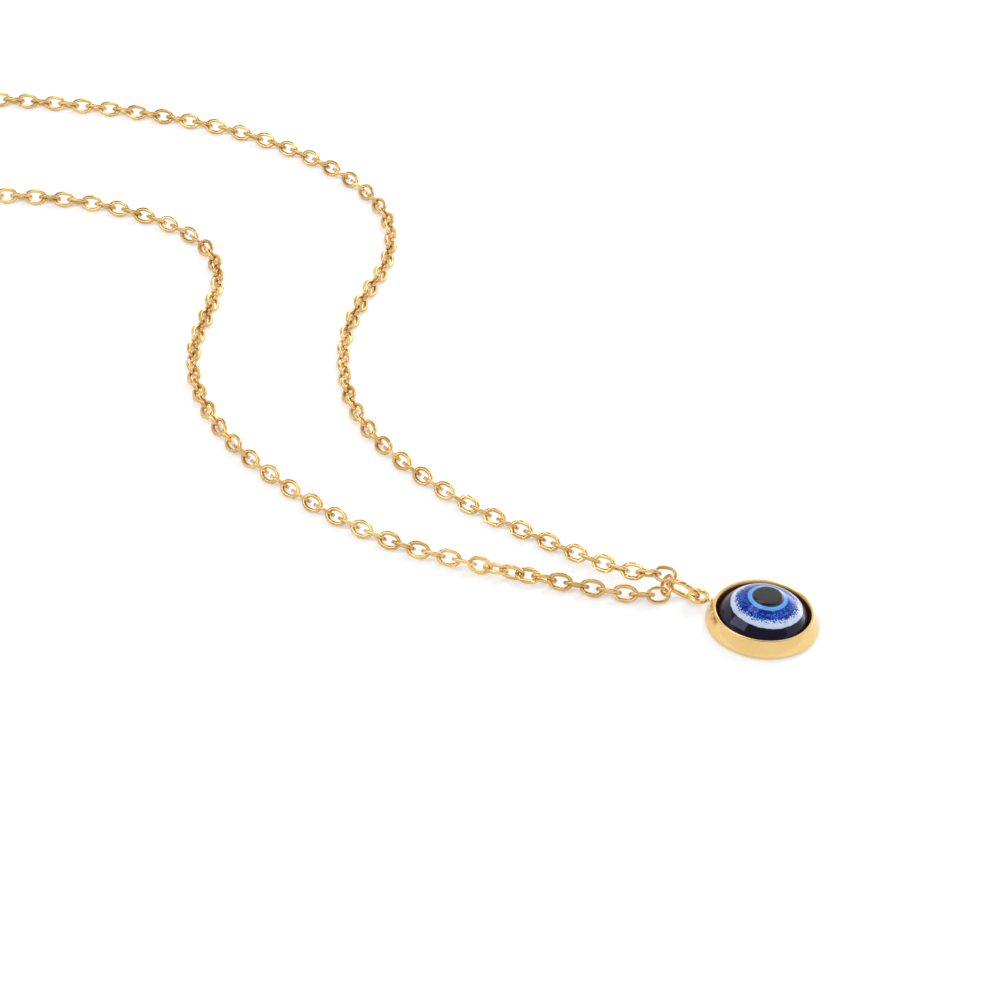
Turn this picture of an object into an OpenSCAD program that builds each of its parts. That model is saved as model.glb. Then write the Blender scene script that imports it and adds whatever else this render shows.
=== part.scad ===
// Evil eye pendant on its fine cable chain, lying on a flat surface.
// Millimetres, +Z up. The origin is the middle of the setting's flat back,
// and the chain runs from the pendant towards -X and comes back to it.

/* [Setting] */
// Widest diameter of the setting, at its base edge
setting_d = 13; // [11:0.5:16]
// Height of the rim above the back
setting_h = 2.15; // [1.9:0.05:3]
// Outer diameter of the rim
rim_d = 11.5; // [11:0.1:11.9]
// Thickness of the rim
rim_wall = 0.28; // [0.2:0.02:0.4]
// Radius of the rounded base edge
base_edge = 0.45; // [0.3:0.05:0.6]
// Height of the base band, where the leaning wall starts
base_band = 0.63; // [0.5:0.01:0.8]
// Thickness of the back plate
back_t = 0.5; // [0.4:0.05:0.8]

/* [Soldered loop] */
// Outer diameter of the loop
loop_d = 2.55; // [2.4:0.05:2.9]
// Thickness of the loop, seen from above
loop_wire = 0.42; // [0.35:0.01:0.5]
// Height of the loop's section
loop_h = 0.55; // [0.4:0.05:0.7]
// Height of the loop's middle above the back
loop_z = 1.02; // [0.95:0.01:1.3]
// Distance of the loop's middle beyond the base edge
loop_reach = 1.45; // [1.3:0.05:1.6]
// Direction from the setting's middle to the loop
loop_angle = 156.5; // [150:0.5:165]
// Width of the solder neck between the loop and the wall
neck_w = 0.8; // [0.5:0.05:1]
// Height of the solder neck
neck_h = 0.4; // [0.3:0.05:0.5]

/* [Glass eye] */
// Width of the groove between the rim and the glass
groove = 0.32; // [0.15:0.01:0.4]
// Height of the glass's straight side
glass_side = 1.1; // [0.8:0.05:1.3]
// Height of the domed face above the straight side
dome_h = 2.67; // [2.2:0.01:3]
// Diameter of the black pupil
pupil_d = 3.7; // [3:0.1:3.9]
// Width of the pale blue ring
pale_w = 0.45; // [0.3:0.05:0.6]
// Width of the cobalt ring
cobalt_w = 1.15; // [0.9:0.05:1.25]
// Width of the white ring
white_w = 0.75; // [0.5:0.05:0.85]
// Height of the pupil above the top of the dome
pupil_rise = 0.05; // [0:0.05:0.3]
// Radius of the pupil's rounded edge
pupil_edge = 0.45; // [0.2:0.05:0.5]
// How far the rings lie off the middle of the glass
eye_shift = 0.25; // [0:0.05:0.35]
// Gap between glass pieces, and between glass and metal
glass_gap = 0.03; // [0.02:0.01:0.06]

/* [Jump ring] */
// Outer diameter of the jump ring
jump_d = 4.3; // [4.2:0.05:4.6]
// Wire of the jump ring
jump_wire = 0.54; // [0.45:0.01:0.56]

/* [Chain] */
// Length of a link
link_len = 2.89; // [2.8:0.01:3.1]
// Width of a link
link_w = 2.05; // [1.9:0.05:2.3]
// Width of the link's wire, seen on the face of the link
link_wire = 0.38; // [0.32:0.01:0.4]
// Thickness of the link's wire, seen on its edge
link_t = 0.34; // [0.28:0.01:0.36]
// Smallest gap between two links in a straight run
link_gap = 0.22; // [0.18:0.01:0.3]

/* [Clasp] */
// Outer diameter of the clasp's ring
clasp_d = 6; // [5.5:0.1:7]
// Wire of the clasp's ring
clasp_wire = 1.1; // [0.9:0.05:1.3]
// Outer diameter of the eye soldered to the clasp
clasp_eye_d = 2.6; // [2.4:0.1:3]
// Wire of the clasp's eye
clasp_eye_wire = 0.5; // [0.4:0.05:0.6]
// Outer diameter of the end ring
end_d = 4; // [3.8:0.1:4.6]
// Wire of the end ring
end_wire = 0.6; // [0.5:0.05:0.7]
// Length of the nub on the clasp's ring
nub_len = 1.1; // [0.8:0.1:1.5]
// Diameter of the nub
nub_d = 0.7; // [0.5:0.05:0.9]

/* [Hidden] */
$fn = 48;

// Middle of the soldered loop, which carries the jump ring and the chain
loop_at = setting_d / 2 + loop_reach;
loop_mid = [loop_at * cos(loop_angle), loop_at * sin(loop_angle), loop_z];

// The jump ring's middle from the loop's middle, its lean and the way it faces
jump_mid = loop_mid + [-1.85, -0.12, 0.845];
jump_lean = 57;
jump_turn = 156;

// The three links that meet at the jump ring. Columns: the link's middle from the loop's
// middle, then its turn about Z, its rise above the surface and its roll, in degrees
MIDDLE = 0;
FAR = 1;
NEAR = 2;
hook_links = [
    [[-3.58, 0.78, 0.635], 87, 21.5, -44.5],
    [[-3.915, 2.015, 1.235], 183, 6, -32],
    [[-4.565, -0.26, -0.08], 193, 6, -49]];

// Route of the chain from the pendant round and back, from the loop's middle:
// x, y, and lift above the height at which the chain lies
chain_route = [
    [-6.9, 2.3, 1.15], [-10.2, 3.95, 0.6], [-15, 7, 0.1], [-21.5, 11, 0], [-27.5, 15, 0],
    [-33.5, 20.5, 0], [-38.5, 26.5, 0], [-42, 33.5, 0], [-43.7, 41, 0], [-44, 49, 0],
    [-42.5, 57.5, 0], [-40.5, 65, 0], [-40, 72, 0], [-41.5, 79, 0], [-45.5, 85.5, 0],
    [-51.5, 91, 0], [-60, 96, 0], [-69, 99, 0], [-79, 100.7, 0], [-90, 101.4, 0],
    [-101, 101.3, 0], [-113, 101.8, 0], [-127, 103, 0], [-142, 104, 0], [-155.5, 101, 0],
    [-162.6, 92, 0], [-160.5, 81, 0], [-150, 74.5, 0], [-136, 73.5, 0], [-122, 74, 0],
    [-108, 75, 0], [-90.5, 76.2, 0], [-83, 76.2, 0], [-75.5, 74.7, 0], [-68.5, 71.5, 0],
    [-63.5, 66.5, 0], [-61.4, 60, 0], [-61.6, 53, 0], [-62.5, 45, 0], [-62, 38, 0],
    [-59.5, 30.5, 0], [-55.5, 23.5, 0], [-50, 17.2, 0], [-43, 11, 0], [-35, 6.1, 0.03],
    [-26.5, 3.1, 0.25], [-18, 1.2, 0.2], [-8.8, -0.35, 0.05]];

// Turn of each strand about its own line: link number from the pendant, degrees
far_twist = [[2, 10], [5, 0]];
near_twist = [[7, 0], [10, 36], [12, 68], [14, 90]];

// Height of the chain's line where it lies: links rest on their sides, rolled half way
link_roll = 45;
rest_z = (link_w * sin(link_roll) + link_t * cos(link_roll)) / 2 + 0.01;

// Distance between the middles of two links
pitch = link_len - 2 * link_wire - link_gap;

// Where the next link hooks into a hand-placed link, at its end away from the pendant
function hook_end(n) = let (turn = hook_links[n][1], rise = hook_links[n][2])
    loop_mid + hook_links[n][0]
    + [cos(rise) * cos(turn), cos(rise) * sin(turn), sin(rise)] * pitch / 2;

// The whole line of the chain, from the first link of one strand to that of the other
route = concat([hook_end(FAR)],
               [for (p = chain_route) [loop_mid[0] + p[0], loop_mid[1] + p[1], rest_z + p[2]]],
               [hook_end(NEAR)]);

// Smooth curve through the route's points, with straight run-outs at both ends
function knot(i) = i < 0 ? 2 * route[0] - route[1]
    : i >= len(route) ? 2 * route[len(route) - 1] - route[len(route) - 2] : route[i];
function curve(i, t) = let (a = knot(i - 1), b = knot(i), c = knot(i + 1), d = knot(i + 2))
    b + (c - a) * t / 2 + (2 * a - 5 * b + 4 * c - d) * t * t / 2
    + (3 * b - a - 3 * c + d) * t * t * t / 2;
curve_steps = 12;
line = concat([for (i = [0:len(route) - 2], k = [0:curve_steps - 1]) curve(i, k / curve_steps)],
              [route[len(route) - 1]]);
run = [for (i = 0, s = 0; i < len(line);
            s = s + (i + 1 < len(line) ? norm(line[i + 1] - line[i]) : 0), i = i + 1) s];
line_x = [for (i = [0:len(line) - 1]) [run[i], line[i][0]]];
line_y = [for (i = [0:len(line) - 1]) [run[i], line[i][1]]];
line_z = [for (i = [0:len(line) - 1]) [run[i], line[i][2]]];
line_len = run[len(run) - 1];

// The clasp lies half way round. Lengths are taken between the places where pieces hook
clasp_in = clasp_d - 2 * clasp_wire;
clasp_eye_in = clasp_eye_d - 2 * clasp_eye_wire;
clasp_span = clasp_in + clasp_wire + clasp_eye_in - link_gap;
end_span = end_d - 2 * end_wire - link_gap;
far_len = (line_len - clasp_span - end_span) / 2;
near_len = line_len - far_len - clasp_span - end_span;

// Links in each strand after its first: odd and even, which fixes the rolls at the clasp
far_count = 2 * ceil((far_len / pitch - 1) / 2) + 1;
near_count = 2 * ceil(near_len / pitch / 2);

// Rolls of the clasp and of the end ring, clear of the links beside them
clasp_roll = -25;
end_roll = 50;

// Both lie on the surface, so the chain's line is lifted over a short run at the clasp
clasp_half = ((clasp_d - clasp_wire) * sin(abs(clasp_roll)) + clasp_wire) / 2;
end_half = ((end_d - end_wire) * sin(abs(end_roll)) + end_wire) / 2;
lift_run = 18;
lift_spare = 1.15;
lift_top = lift_spare * (max(clasp_half, end_half) - rest_z);
function lift(s) = let (d = min(1, abs(s - line_len / 2) / lift_run))
    lift_top * pow(1 - d * d, 2);
function along(s) = [lookup(s, line_x), lookup(s, line_y), lookup(s, line_z) + lift(s)];

// Puts its children at the middle of a to b, with their X along it, rolled about it
module between(a, b, roll) {
    way = b - a;
    translate((a + b) / 2)
        rotate([roll, -asin(way[2] / norm(way)), atan2(way[1], way[0])])
            children();
}

// Flat outline with two straight sides and two round ends, length len, width w
module oval(len, w) {
    square([len - w, w], center = true);
    for (side = [-1, 1]) translate([side * (len - w) / 2, 0]) circle(d = w);
}

// Ring of round wire lying flat, outer diameter d
module wire_ring(d, wire) {
    rotate_extrude($fn = 64) translate([(d - wire) / 2, 0]) circle(d = wire, $fn = 24);
}

// One oval link of flat wire, lying flat
module link() {
    linear_extrude(link_t, center = true) difference() {
        oval(link_len, link_w);
        oval(link_len - 2 * link_wire, link_w - 2 * link_wire);
    }
}

// One of the links at the jump ring
module hook_link(n) {
    translate(loop_mid + hook_links[n][0])
        rotate([hook_links[n][3], -hook_links[n][2], hook_links[n][1]]) link();
}

// A strand of count links over a length, from the end that is nearer to the pendant.
// Its table turns it about its own line: the first link here is the strand's second
module strand(from, way, len, count, twists) {
    step = way * len / count;
    for (i = [0:count - 1]) {
        number = i + 2;
        roll = (number % 2 == 1 ? -link_roll : link_roll) + lookup(number, twists);
        between(along(from + i * step), along(from + (i + 1) * step), roll) link();
    }
}

// Section of the cup: rounded base edge, leaning wall, rim, inside and back plate
module setting_section() {
    edge_x = setting_d / 2 - base_edge;
    wall_step = 0.04;
    rim_edge = 0.08;
    difference() {
        union() {
            translate([edge_x, base_edge]) circle(base_edge);
            polygon([[0, 0], [edge_x, 0], [setting_d / 2 - wall_step, base_band],
                     [rim_d / 2, setting_h - rim_edge], [rim_d / 2 - rim_edge, setting_h],
                     [0, setting_h]]);
        }
        translate([0, back_t]) square([rim_d / 2 - rim_wall, setting_h]);
    }
}

// Section of the loop: a rectangle with its four corners cut
module loop_section() {
    edge = 0.12;
    inner = loop_d / 2 - loop_wire;
    polygon([[inner, edge - loop_h / 2], [inner + edge, -loop_h / 2],
             [loop_d / 2 - edge, -loop_h / 2], [loop_d / 2, edge - loop_h / 2],
             [loop_d / 2, loop_h / 2 - edge], [loop_d / 2 - edge, loop_h / 2],
             [inner + edge, loop_h / 2], [inner, loop_h / 2 - edge]]);
}

// The metal cup with the loop that is soldered to its side
module setting() {
    neck_from = (rim_d - rim_wall) / 2;
    neck_to = loop_at - (loop_d - loop_wire) / 2;
    color("gold") {
        rotate_extrude($fn = 128) setting_section();
        translate(loop_mid) rotate_extrude($fn = 64) loop_section();
        rotate([0, 0, loop_angle]) translate([neck_from, -neck_w / 2, loop_z - neck_h / 2])
            cube([neck_to - neck_from, neck_w, neck_h]);
    }
}

// The glass fills the cup up to the groove, and its domed face is part of a sphere
glass_d = rim_d - 2 * rim_wall - 2 * groove;
glass_floor = back_t + glass_gap;
dome_edge = glass_floor + glass_side;
dome_r = (pow(glass_d / 2, 2) + pow(dome_h, 2)) / (2 * dome_h);
dome_centre = dome_edge + dome_h - dome_r;

// The coloured rings lie round the pupil and reach down to the edge of the dome
pale_d = pupil_d + 2 * pale_w;
cobalt_d = pale_d + 2 * cobalt_w;
white_d = cobalt_d + 2 * white_w;
pocket_z = dome_edge;

// Everything under the domed face, out to diameter d
module under_dome(d, floor_z, shift = 0) {
    intersection() {
        translate([0, 0, dome_centre]) sphere(dome_r, $fn = 160);
        translate([shift, 0, floor_z]) cylinder(h = glass_side + dome_h, d = d, $fn = 96);
    }
}

// A ring of coloured glass let into the cabochon, between two diameters
module glass_ring(outer_d, inner_d) {
    difference() {
        under_dome(outer_d, pocket_z, eye_shift);
        translate([eye_shift, 0, pocket_z - glass_gap])
            cylinder(h = 2 * dome_h, d = inner_d + 2 * glass_gap, $fn = 96);
    }
}

// Navy cabochon with the pocket that holds the coloured glass
module glass_base() {
    color("midnightblue") difference() {
        under_dome(glass_d, glass_floor);
        translate([eye_shift, 0, pocket_z - glass_gap])
            cylinder(h = 2 * dome_h, d = white_d + 2 * glass_gap, $fn = 96);
    }
}

module white_ring() {
    color("lightsteelblue") glass_ring(white_d, cobalt_d);
}

module cobalt_ring() {
    color("mediumblue") glass_ring(cobalt_d, pale_d);
}

module pale_ring() {
    color("dodgerblue") glass_ring(pale_d, pupil_d);
}

// Black button of glass that stands a little proud of the dome
module pupil() {
    side_h = dome_h + pupil_rise - pupil_edge;
    flat_r = pupil_d / 2 - pupil_edge;
    color("black") translate([eye_shift, 0, pocket_z]) rotate_extrude($fn = 96) {
        square([pupil_d / 2, side_h]);
        square([flat_r, side_h + pupil_edge]);
        translate([flat_r, side_h]) intersection() {
            circle(pupil_edge);
            square(pupil_edge);
        }
    }
}

module jump_ring() {
    color("gold") translate(jump_mid) rotate([jump_lean, 0, jump_turn])
        wire_ring(jump_d, jump_wire);
}

// The middle link, which the jump ring holds, and the strand on the +Y side
module far_chain() {
    color("goldenrod") {
        hook_link(MIDDLE);
        hook_link(FAR);
        strand(0, 1, far_len, far_count, far_twist);
    }
}

module near_chain() {
    color("goldenrod") {
        hook_link(NEAR);
        strand(line_len, -1, near_len, near_count, near_twist);
    }
}

// Ring clasp with its soldered eye and the small nub that would open it
module clasp() {
    nub_turn = 60;
    a = along(far_len);
    b = along(far_len + clasp_span);
    eye_x = -(clasp_in + clasp_wire) / 2;
    ring_x = clasp_eye_in / 2 + clasp_wire / 2;
    color("gold") between(a, b, clasp_roll) translate([-link_gap / 4, 0, 0]) {
        translate([eye_x, 0, 0]) wire_ring(clasp_eye_d, clasp_eye_wire);
        translate([ring_x, 0, 0]) {
            wire_ring(clasp_d, clasp_wire);
            rotate([0, 0, nub_turn]) translate([(clasp_d - clasp_wire) / 2, 0, 0])
                rotate([0, 90, 0]) cylinder(h = nub_len, d = nub_d);
        }
    }
}

module end_ring() {
    a = along(far_len + clasp_span);
    b = along(far_len + clasp_span + end_span);
    color("gold") between(a, b, end_roll) wire_ring(end_d, end_wire);
}

setting();
glass_base();
white_ring();
cobalt_ring();
pale_ring();
pupil();
jump_ring();
far_chain();
near_chain();
clasp();
end_ring();
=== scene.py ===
"""Looks of an evil eye pendant that lies on its cable chain, with its studio and camera.

Sizes are in millimetres, and those of the studio in metres. Each piece is modelled at a scale
of one unit to the millimetre and brought to its real size at the end.
"""

import bisect
import logging
import math
from collections.abc import Callable, Sequence
from dataclasses import dataclass, field
from enum import Enum

import bpy
from mathutils import Matrix, Vector


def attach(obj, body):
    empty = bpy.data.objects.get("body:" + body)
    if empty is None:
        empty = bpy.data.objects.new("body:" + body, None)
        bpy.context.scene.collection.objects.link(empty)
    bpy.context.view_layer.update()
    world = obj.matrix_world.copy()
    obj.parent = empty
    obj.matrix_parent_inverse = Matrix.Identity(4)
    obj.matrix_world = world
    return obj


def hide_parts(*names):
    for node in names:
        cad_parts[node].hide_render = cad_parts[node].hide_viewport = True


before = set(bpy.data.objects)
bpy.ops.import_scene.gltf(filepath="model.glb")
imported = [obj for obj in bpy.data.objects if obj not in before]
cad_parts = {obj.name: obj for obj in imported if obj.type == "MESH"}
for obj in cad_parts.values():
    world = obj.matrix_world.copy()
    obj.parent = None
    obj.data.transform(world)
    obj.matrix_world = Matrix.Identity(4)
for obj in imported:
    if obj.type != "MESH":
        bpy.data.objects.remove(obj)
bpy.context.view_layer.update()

MM = 0.001
Point = tuple[float, float, float]
Colour = tuple[float, float, float, float]
log = logging.getLogger("pendant")


# Links at the jump ring, placed one by one: middle from the loop's middle, turn, rise and roll
HOOK_LINKS = (
    ((-3.58, 0.78, 0.635), 87.0, 21.5, -44.5),
    ((-3.915, 2.015, 1.235), 183.0, 6.0, -32.0),
    ((-4.565, -0.26, -0.08), 193.0, 6.0, -49.0),
)

# Route of the chain from the loop's middle: x, y and lift above its resting height
CHAIN_ROUTE = (
    (-6.9, 2.3, 1.15), (-10.2, 3.95, 0.6), (-15, 7, 0.1), (-21.5, 11, 0), (-27.5, 15, 0),
    (-33.5, 20.5, 0), (-38.5, 26.5, 0), (-42, 33.5, 0), (-43.7, 41, 0), (-44, 49, 0),
    (-42.5, 57.5, 0), (-40.5, 65, 0), (-40, 72, 0), (-41.5, 79, 0), (-45.5, 85.5, 0),
    (-51.5, 91, 0), (-60, 96, 0), (-69, 99, 0), (-79, 100.7, 0), (-90, 101.4, 0),
    (-101, 101.3, 0), (-113, 101.8, 0), (-127, 103, 0), (-142, 104, 0), (-155.5, 101, 0),
    (-162.6, 92, 0), (-160.5, 81, 0), (-150, 74.5, 0), (-136, 73.5, 0), (-122, 74, 0),
    (-108, 75, 0), (-90.5, 76.2, 0), (-83, 76.2, 0), (-75.5, 74.7, 0), (-68.5, 71.5, 0),
    (-63.5, 66.5, 0), (-61.4, 60, 0), (-61.6, 53, 0), (-62.5, 45, 0), (-62, 38, 0),
    (-59.5, 30.5, 0), (-55.5, 23.5, 0), (-50, 17.2, 0), (-43, 11, 0), (-35, 6.1, 0.03),
    (-26.5, 3.1, 0.25), (-18, 1.2, 0.2), (-8.8, -0.35, 0.05),
)

# Turn of each strand about its own line: link number from the pendant and degrees
FAR_TWIST = ((2, 10), (5, 0))
NEAR_TWIST = ((7, 0), (10, 36), (12, 68), (14, 90))


class Slot(Enum):
    """Names of material slots."""

    SETTING = "gold_setting"
    FINDINGS = "gold_findings"
    CHAIN = "gold_chain"
    NAVY = "navy_glass"
    BLACK = "black_glass"


# Modelling helpers


def deselect() -> None:
    """Leaves nothing selected, in object mode."""
    if bpy.context.object and bpy.context.object.mode != "OBJECT":
        bpy.ops.object.mode_set(mode="OBJECT")
    bpy.ops.object.select_all(action="DESELECT")


def activate(piece: bpy.types.Object) -> None:
    """Selects one object alone and makes it the active one.

    Args:
        piece: The object.
    """
    deselect()
    piece.select_set(True)
    bpy.context.view_layer.objects.active = piece


def edit(piece: bpy.types.Object, select: str = "SELECT") -> None:
    """Opens an object in edit mode with all or none of it selected.

    Args:
        piece: The object.
        select: SELECT or DESELECT.
    """
    activate(piece)
    bpy.ops.object.mode_set(mode="EDIT")
    bpy.ops.mesh.select_mode(type="VERT")
    bpy.ops.mesh.select_all(action=select)


def close_edit(piece: bpy.types.Object, merge: float = 0.0) -> None:
    """Merges doubles, turns the faces outwards and leaves edit mode.

    Args:
        piece: The object in edit mode.
        merge: Distance within which vertices become one; none are merged at 0.
    """
    bpy.ops.mesh.select_all(action="SELECT")
    if merge:
        bpy.ops.mesh.remove_doubles(threshold=merge)
    bpy.ops.mesh.normals_make_consistent(inside=False)
    bpy.ops.object.mode_set(mode="OBJECT")
    activate(piece)


def choose(piece: bpy.types.Object, wanted: Callable[[Vector], bool]) -> None:
    """Selects the vertices of the piece in edit mode that pass a test on their place.

    Args:
        piece: The object, in edit mode.
        wanted: The test.
    """
    bpy.ops.mesh.select_all(action="DESELECT")
    bpy.ops.object.mode_set(mode="OBJECT")
    for vertex in piece.data.vertices:
        vertex.select = wanted(vertex.co)
    bpy.ops.object.mode_set(mode="EDIT")


def turned(name: str, profile: Sequence[tuple[float, float]], sides: int) -> bpy.types.Object:
    """Turns a closed solid about Z, ring by ring, as a lathe would.

    Args:
        name: Name of the object.
        profile: Radius and height of each ring, from the outside bottom round to the end.
        sides: Number of sides of each ring.

    Returns:
        The object, still in millimetres.
    """
    deselect()
    radius, height = profile[0]
    bpy.ops.mesh.primitive_circle_add(
        vertices=sides, radius=radius, fill_type="NGON", location=(0, 0, height)
    )
    piece = bpy.context.object
    piece.name = name
    bpy.ops.object.transform_apply(location=True, rotation=False, scale=False)
    edit(piece)
    for (before, low), (after, high) in zip(profile, profile[1:]):
        bpy.ops.mesh.extrude_region_move(
            TRANSFORM_OT_translate={"value": (0, 0, high - low)}
        )
        grow = after / before
        bpy.ops.transform.resize(value=(grow, grow, 1), center_override=(0, 0, high))
    close_edit(piece)
    return piece


def arc(
    centre: tuple[float, float], radius: float, start: float, end: float, steps: int
) -> list[tuple[float, float]]:
    """Gives points on a round stretch of a profile.

    Args:
        centre: Middle of the arc.
        radius: Its radius.
        start: Angle of its first point, in degrees from the outward direction.
        end: Angle of its last point.
        steps: Number of steps between them.

    Returns:
        The points, both ends among them.
    """
    turns = [math.radians(start + (end - start) * k / steps) for k in range(steps + 1)]
    return [(centre[0] + radius * math.cos(t), centre[1] + radius * math.sin(t)) for t in turns]


def place(piece: bpy.types.Object, matrix: Matrix) -> None:
    """Moves the mesh of a piece, so that its object stays at the origin.

    Args:
        piece: The object.
        matrix: The move, in millimetres.
    """
    activate(piece)
    piece.matrix_world = matrix
    bpy.ops.object.transform_apply(location=True, rotation=True, scale=True)


def join(pieces: Sequence[bpy.types.Object]) -> bpy.types.Object:
    """Joins objects into the first of them.

    Args:
        pieces: The objects.

    Returns:
        The first one, which now holds every mesh.
    """
    deselect()
    for piece in pieces:
        piece.select_set(True)
    bpy.context.view_layer.objects.active = pieces[0]
    bpy.ops.object.join()
    return bpy.context.object


def finish_piece(
    piece: bpy.types.Object,
    finish: bpy.types.Material,
    replaces: Sequence[str],
    smooth: float = 35.0,
) -> None:
    """Brings a piece to its real size, dresses it and hangs it in the frame.

    Args:
        piece: The object, in millimetres.
        finish: Its material.
        replaces: The CAD nodes that the piece stands for.
        smooth: Largest angle between faces that is shaded smooth, in degrees.
    """
    place(piece, Matrix.Scale(MM, 4))
    activate(piece)
    bpy.ops.object.shade_smooth_by_angle(angle=math.radians(smooth))
    piece.data.materials.clear()
    piece.data.materials.append(finish)
    piece.data.name = piece.name
    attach(piece, "root")
    if replaces:
        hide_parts(*replaces)
    log.info("%s: %d faces", piece.name, len(piece.data.polygons))


def heading(turn: float, rise: float, roll: float) -> Matrix:
    """Turns a piece that lies along X into its own direction.

    Args:
        turn: Turn about Z, in degrees.
        rise: Rise of its X above the surface.
        roll: Roll about its own X.

    Returns:
        The rotation.
    """
    return (
        Matrix.Rotation(math.radians(turn), 4, "Z")
        @ Matrix.Rotation(math.radians(-rise), 4, "Y")
        @ Matrix.Rotation(math.radians(roll), 4, "X")
    )


def flat_section(name: str, width: float, height: float, edge: float, cuts: int) -> bpy.types.Object:
    """Makes the open outline of a flat wire, upright across X, with softened corners.

    Args:
        name: Name of the object.
        width: Width of the wire, along X.
        height: Thickness of the wire, along Z.
        edge: Width of the softened corners.
        cuts: Number of faces on each corner.

    Returns:
        The outline, round the origin.
    """
    deselect()
    bpy.ops.mesh.primitive_plane_add(size=1)
    piece = bpy.context.object
    piece.name = name
    upright = Matrix.Rotation(math.radians(90), 4, "X")
    place(piece, upright @ Matrix.Diagonal((width, height, 1, 1)))
    edit(piece)
    bpy.ops.mesh.bevel(affect="VERTICES", offset=edge, segments=cuts, offset_type="OFFSET")
    bpy.ops.mesh.select_all(action="SELECT")
    bpy.ops.mesh.delete(type="ONLY_FACE")
    bpy.ops.object.mode_set(mode="OBJECT")
    return piece


def round_section(name: str, width: float, sides: int) -> bpy.types.Object:
    """Makes the open outline of a round wire, upright across X.

    Args:
        name: Name of the object.
        width: Diameter of the wire.
        sides: Number of its sides.

    Returns:
        The outline, round the origin.
    """
    deselect()
    bpy.ops.mesh.primitive_circle_add(vertices=sides, radius=width / 2, fill_type="NOTHING")
    piece = bpy.context.object
    piece.name = name
    place(piece, Matrix.Rotation(math.radians(90), 4, "X"))
    return piece


def wire_ring(name: str, outer_d: float, wire: float, sides: int, steps: int) -> bpy.types.Object:
    """Makes a closed ring of round wire.

    Args:
        name: Name of the object.
        outer_d: Outer diameter of the ring.
        wire: Diameter of the wire.
        sides: Number of sides of the wire.
        steps: Number of steps round the ring.

    Returns:
        The ring, lying flat round the origin.
    """
    return spun_ring(round_section(name, wire, sides), (outer_d - wire) / 2, steps)


def spun_ring(section: bpy.types.Object, radius: float, steps: int) -> bpy.types.Object:
    """Spins a wire's outline all the way round Z.

    Args:
        section: The outline, round the origin.
        radius: Distance of its middle from the ring's middle.
        steps: Number of steps round the ring.

    Returns:
        The closed ring, round the origin.
    """
    place(section, Matrix.Translation((radius, 0, 0)))
    edit(section)
    bpy.ops.mesh.spin(
        steps=steps, angle=2 * math.pi, center=(0, 0, 0), axis=(0, 0, -1), dupli=False
    )
    close_edit(section, 0.002)
    return section


def copies(master: bpy.types.Object, places: Sequence[Matrix]) -> list[bpy.types.Object]:
    """Copies a piece to many places, each copy with its own mesh.

    Args:
        master: The piece.
        places: Where the copies go.

    Returns:
        The copies.
    """
    made = []
    for index, where in enumerate(places):
        twin = master.copy()
        twin.data = master.data.copy()
        twin.name = f"{master.name}_{index:03d}"
        twin.matrix_world = where
        bpy.context.scene.collection.objects.link(twin)
        made.append(twin)
    return made


def table(number: float, rows: Sequence[tuple[float, float]]) -> float:
    """Reads a table of pairs, straight between its rows and level beyond its ends.

    Args:
        number: What is looked up.
        rows: The pairs, in rising order.

    Returns:
        The value.
    """
    if number <= rows[0][0]:
        return rows[0][1]
    for (low, first), (high, second) in zip(rows, rows[1:]):
        if number <= high:
            return first + (second - first) * (number - low) / (high - low)
    return rows[-1][1]


# Finishes


class Tree:
    """A node tree, with short calls for the nodes that the finishes and the room share."""

    def __init__(self, tree: bpy.types.NodeTree, shader: str) -> None:
        """Takes a tree and its main shader.

        Args:
            tree: The tree.
            shader: Name of the shader's node.
        """
        self.tree = tree
        self.shader = tree.nodes[shader]

    def add(self, kind: str, **inputs: object) -> bpy.types.Node:
        """Adds a node and fills its sockets.

        Args:
            kind: Type of the node.
            inputs: Value or output for each socket, by its name with _ for a space.

        Returns:
            The node.
        """
        node = self.tree.nodes.new(kind)
        for name, value in inputs.items():
            self.put(node.inputs[name.replace("_", " ")], value)
        return node

    def put(self, socket: bpy.types.NodeSocket, value: object) -> None:
        """Links an output to a socket, or sets the socket's own value.

        Args:
            socket: The socket.
            value: The output or the value.
        """
        if isinstance(value, bpy.types.NodeSocket):
            self.tree.links.new(value, socket)
        else:
            socket.default_value = value

    def set(self, **inputs: object) -> None:
        """Fills the shader's sockets, named as in add."""
        for name, value in inputs.items():
            self.put(self.shader.inputs[name.replace("_", " ")], value)

    def math(self, kind: str, a: object, b: object) -> bpy.types.NodeSocket:
        """Adds a Math node.

        Args:
            kind: Its operation.
            a: First value or output.
            b: Second value or output.

        Returns:
            Its output.
        """
        node = self.tree.nodes.new("ShaderNodeMath")
        node.operation = kind
        self.put(node.inputs[0], a)
        self.put(node.inputs[1], b)
        return node.outputs[0]

    def ramp(
        self, value: object, low: float, high: float, start: float = 0.0, end: float = 1.0
    ) -> bpy.types.NodeSocket:
        """Maps a value smoothly from one range to another.

        Args:
            value: The value or output.
            low: Where the rise starts.
            high: Where it ends.
            start: Result at low.
            end: Result at high.

        Returns:
            The mapped output.
        """
        node = self.tree.nodes.new("ShaderNodeMapRange")
        node.interpolation_type = "SMOOTHSTEP"
        for socket, given in zip(node.inputs, (value, low, high, start, end)):
            self.put(socket, given)
        return node.outputs[0]

    def mix(self, share: object, below: object, above: object) -> bpy.types.NodeSocket:
        """Mixes two colours.

        Args:
            share: Share of the second one, from 0 to 1.
            below: First colour or output.
            above: Second colour or output.

        Returns:
            The mixed colour.
        """
        node = self.tree.nodes.new("ShaderNodeMix")
        node.data_type = "RGBA"
        self.put(node.inputs[0], share)
        self.put(node.inputs[6], below)
        self.put(node.inputs[7], above)
        return node.outputs[2]


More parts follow.
